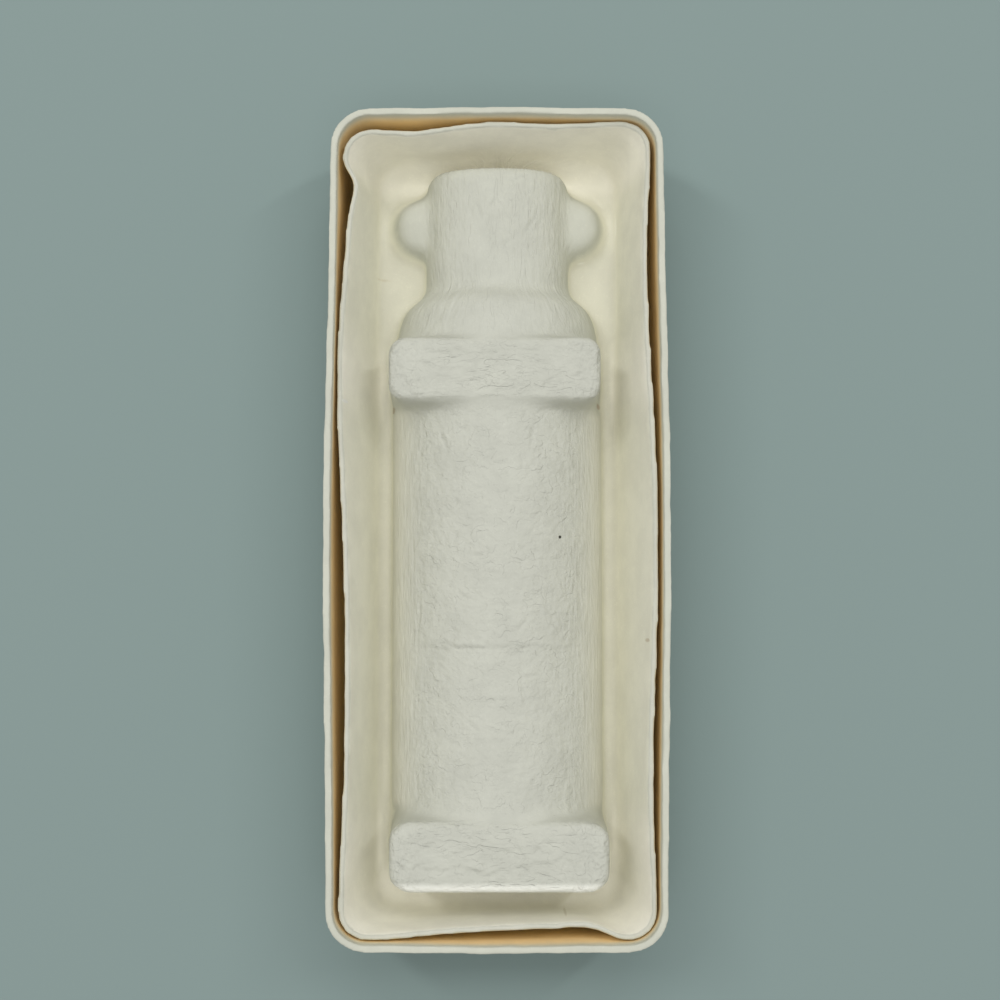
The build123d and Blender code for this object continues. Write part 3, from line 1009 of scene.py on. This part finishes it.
class PULP_OT_insert(bpy.types.Operator):
    """Press the insert: soft folds, a wrinkled bottle form and a ragged rim"""

    bl_idname = "pulp.insert"
    bl_label = "Make bottle insert"

    def execute(self, context):
        settings = context.scene.pulp_insert
        piece = sheet_from_node("bottle_insert", "bottle_insert_pulp")
        finish_with(piece, "REMESH", mode="VOXEL", voxel_size=settings.grain)
        press_form(piece)
        masks = insert_relief_masks(piece)
        set_masks(piece, masks)
        press_relief(piece, INSERT_RELIEFS, settings.softening)
        drop_masks(piece, masks)
        thin_out(piece, settings.triangles, insert_plain(insert_zones(piece), piece))
        keep_inside(piece, "bottle_insert")
        zones = insert_zones(piece)
        across, along, up = places(piece).T
        # Painted shade along the creases, which the material reads
        zones["creases"] = crease_heights(across, along, form_skin(zones, up))[1]
        set_masks(piece, {name: zones[name] for name in INSERT_SHOWN})
        # Tones: the pan, web, nooks and form sides are painted light, the foot edge a painted highlight and
        # the back a painted warm glow
        tones = (("web", settings.web_tint_and_painted_light), ("nooks", settings.nook_painted_light),
                 ("form", settings.form_colour), ("sides", settings.side_painted_light),
                 ("foot_edge_highlight", settings.foot_highlight_colour), ("rim_band", settings.rim_colour),
                 ("backs", settings.back_tint_and_painted_glow))
        material = pulp_material("insert_pulp_sheet", settings.pan_tint_and_painted_light, tones, FINE_CREASES, INSERT_MARKS)
        settle(piece, "bottle_insert", material)
        return {"FINISHED"}


class PULP_OT_tray(bpy.types.Operator):
    """Press the outer tray with its ragged rim"""

    bl_idname = "pulp.tray"
    bl_label = "Make outer tray"

    def execute(self, context):
        settings = context.scene.pulp_tray
        piece = sheet_from_node("outer_tray", "outer_tray_pulp")
        finish_with(piece, "REMESH", mode="VOXEL", voxel_size=settings.grain)
        masks = tray_relief_masks(piece)
        set_masks(piece, masks)
        press_relief(piece, TRAY_RELIEFS, settings.softening)
        drop_masks(piece, masks)
        thin_out(piece, settings.triangles, masks["rims"] < 0.5)
        keep_inside(piece, "outer_tray")
        set_masks(piece, tray_zones(piece))
        # The depths get a painted warm glow
        tones = (("depths", settings.depth_tint_and_painted_glow),)
        material = pulp_material("tray_pulp_sheet", settings.colour, tones, (), ())
        settle(piece, "outer_tray", material)
        return {"FINISHED"}


def add_lamp(name, place, target, size, power):
    """A softbox at a place, aimed at a target, with its two sides and its power in watts."""
    bpy.ops.object.light_add(type="AREA", location=place)
    lamp = bpy.context.object
    lamp.name = name
    lamp.data.shape = "RECTANGLE"
    lamp.data.size = size[0]
    lamp.data.size_y = size[1]
    lamp.data.energy = power
    aim = Vector(target) - lamp.location
    lamp.rotation_euler = aim.to_track_quat("-Z", "Y").to_euler()


class PULP_OT_stage(bpy.types.Operator):
    """Lay the floor, hang the lamps and set the camera"""

    bl_idname = "pulp.stage"
    bl_label = "Set stage"

    def execute(self, context):
        settings = context.scene.pulp_stage
        scene = context.scene
        scene.view_settings.view_transform = "Standard"
        bpy.ops.object.select_all(action="DESELECT")
        bpy.ops.mesh.primitive_plane_add(size=settings.floor_size, location=(0, 0, -FLOOR_DROP))
        floor = context.object
        floor.name = "floor"
        bpy.ops.object.transform_apply(location=True)
        material, _, shader = new_material("floor_paper")
        shader.inputs["Base Color"].default_value = whole(settings.floor_colour)
        shader.inputs["Roughness"].default_value = FLOOR_ROUGHNESS
        floor.data.materials.append(material)
        world = bpy.data.worlds.new("studio")
        world.use_nodes = True
        background = next(node for node in world.node_tree.nodes if node.type == "BACKGROUND")
        background.inputs["Color"].default_value = (1.0, 1.0, 1.0, 1.0)
        background.inputs["Strength"].default_value = settings.sky_level
        scene.world = world
        centre = (CAD_LOW + CAD_HIGH) / 2
        for name, place, size, power in LAMPS:
            add_lamp(name, place, centre, size, power)
        bpy.ops.object.camera_add(location=settings.camera_place, rotation=(settings.camera_tilt, 0, 0))
        camera = context.object
        camera.name = "camera"
        camera.data.lens = settings.camera_lens
        scene.camera = camera
        return {"FINISHED"}


class PULP_PT_panel(bpy.types.Panel):
    """Lists the steps and their settings"""

    bl_idname = "PULP_PT_panel"
    bl_label = "Pulp insert"
    bl_space_type = "VIEW_3D"
    bl_region_type = "UI"
    bl_category = "Pulp insert"

    def draw(self, context):
        scene = context.scene
        for operator, settings in (("pulp.stage", scene.pulp_stage), ("pulp.tray", scene.pulp_tray),
                                   ("pulp.insert", scene.pulp_insert)):
            column = self.layout.column()
            column.operator(operator)
            for key in settings.__annotations__:
                column.prop(settings, key)


CLASSES = (
    InsertSettings, TraySettings, StageSettings, PULP_OT_insert, PULP_OT_tray, PULP_OT_stage, PULP_PT_panel,
)


def register():
    """Register the classes and hang the settings on the scene."""
    for one in CLASSES:
        bpy.utils.register_class(one)
    bpy.types.Scene.pulp_insert = bpy.props.PointerProperty(type=InsertSettings)
    bpy.types.Scene.pulp_tray = bpy.props.PointerProperty(type=TraySettings)
    bpy.types.Scene.pulp_stage = bpy.props.PointerProperty(type=StageSettings)


def unregister():
    """Take the settings and the classes away again."""
    del bpy.types.Scene.pulp_stage
    del bpy.types.Scene.pulp_tray
    del bpy.types.Scene.pulp_insert
    for one in reversed(CLASSES):
        bpy.utils.unregister_class(one)


def main():
    """Make everything in order."""
    register()
    bpy.ops.pulp.stage()
    bpy.ops.pulp.tray()
    bpy.ops.pulp.insert()


if __name__ == "__main__":
    main()
